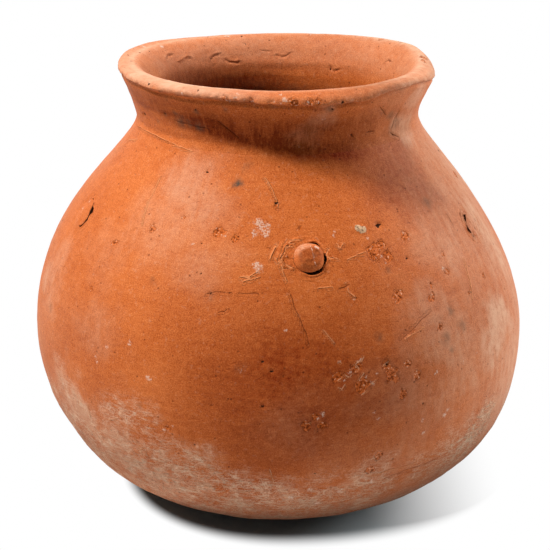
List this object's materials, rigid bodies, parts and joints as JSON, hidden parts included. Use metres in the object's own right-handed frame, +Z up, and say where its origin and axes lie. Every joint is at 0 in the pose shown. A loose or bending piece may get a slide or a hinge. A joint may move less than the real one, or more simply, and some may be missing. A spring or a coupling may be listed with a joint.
{
  "type": "studded terracotta jar",
  "caption": "Round-bellied unglazed clay jar with a short flaring neck, a thick everted lip, a small flat foot and low clay studs set around the shoulder.",
  "frame": {"origin": "centre of the flat foot, at the level of the surface the jar stands on", "axes": "+Z up along the jar's axis; the jar's front, the side with the proudest stud, faces -Y"},
  "size_m": [0.223, 0.223, 0.198],
  "materials": {
    "body_clay": "matte fired clay, lightly burnished",
    "scraped_clay": "matte fired clay, scraped and scuffed",
    "neck_clay": "matte fired clay, wiped",
    "stud_clay": "matte fired clay, hand pressed",
    "luting_clay": "matte fired clay, smeared"
  },
  "bodies": {
    "root": {"base_bowl": "scraped_clay", "body_wall": "body_clay", "neck_collar": "neck_clay", "front_stud": "stud_clay", "front_stud_bed": "luting_clay", "right_stud": "stud_clay", "right_stud_bed": "luting_clay", "rear_right_stud": "stud_clay", "rear_right_stud_bed": "luting_clay", "rear_left_stud": "stud_clay", "rear_left_stud_bed": "luting_clay", "left_stud": "stud_clay", "left_stud_bed": "luting_clay"}
  },
  "joints": []
}
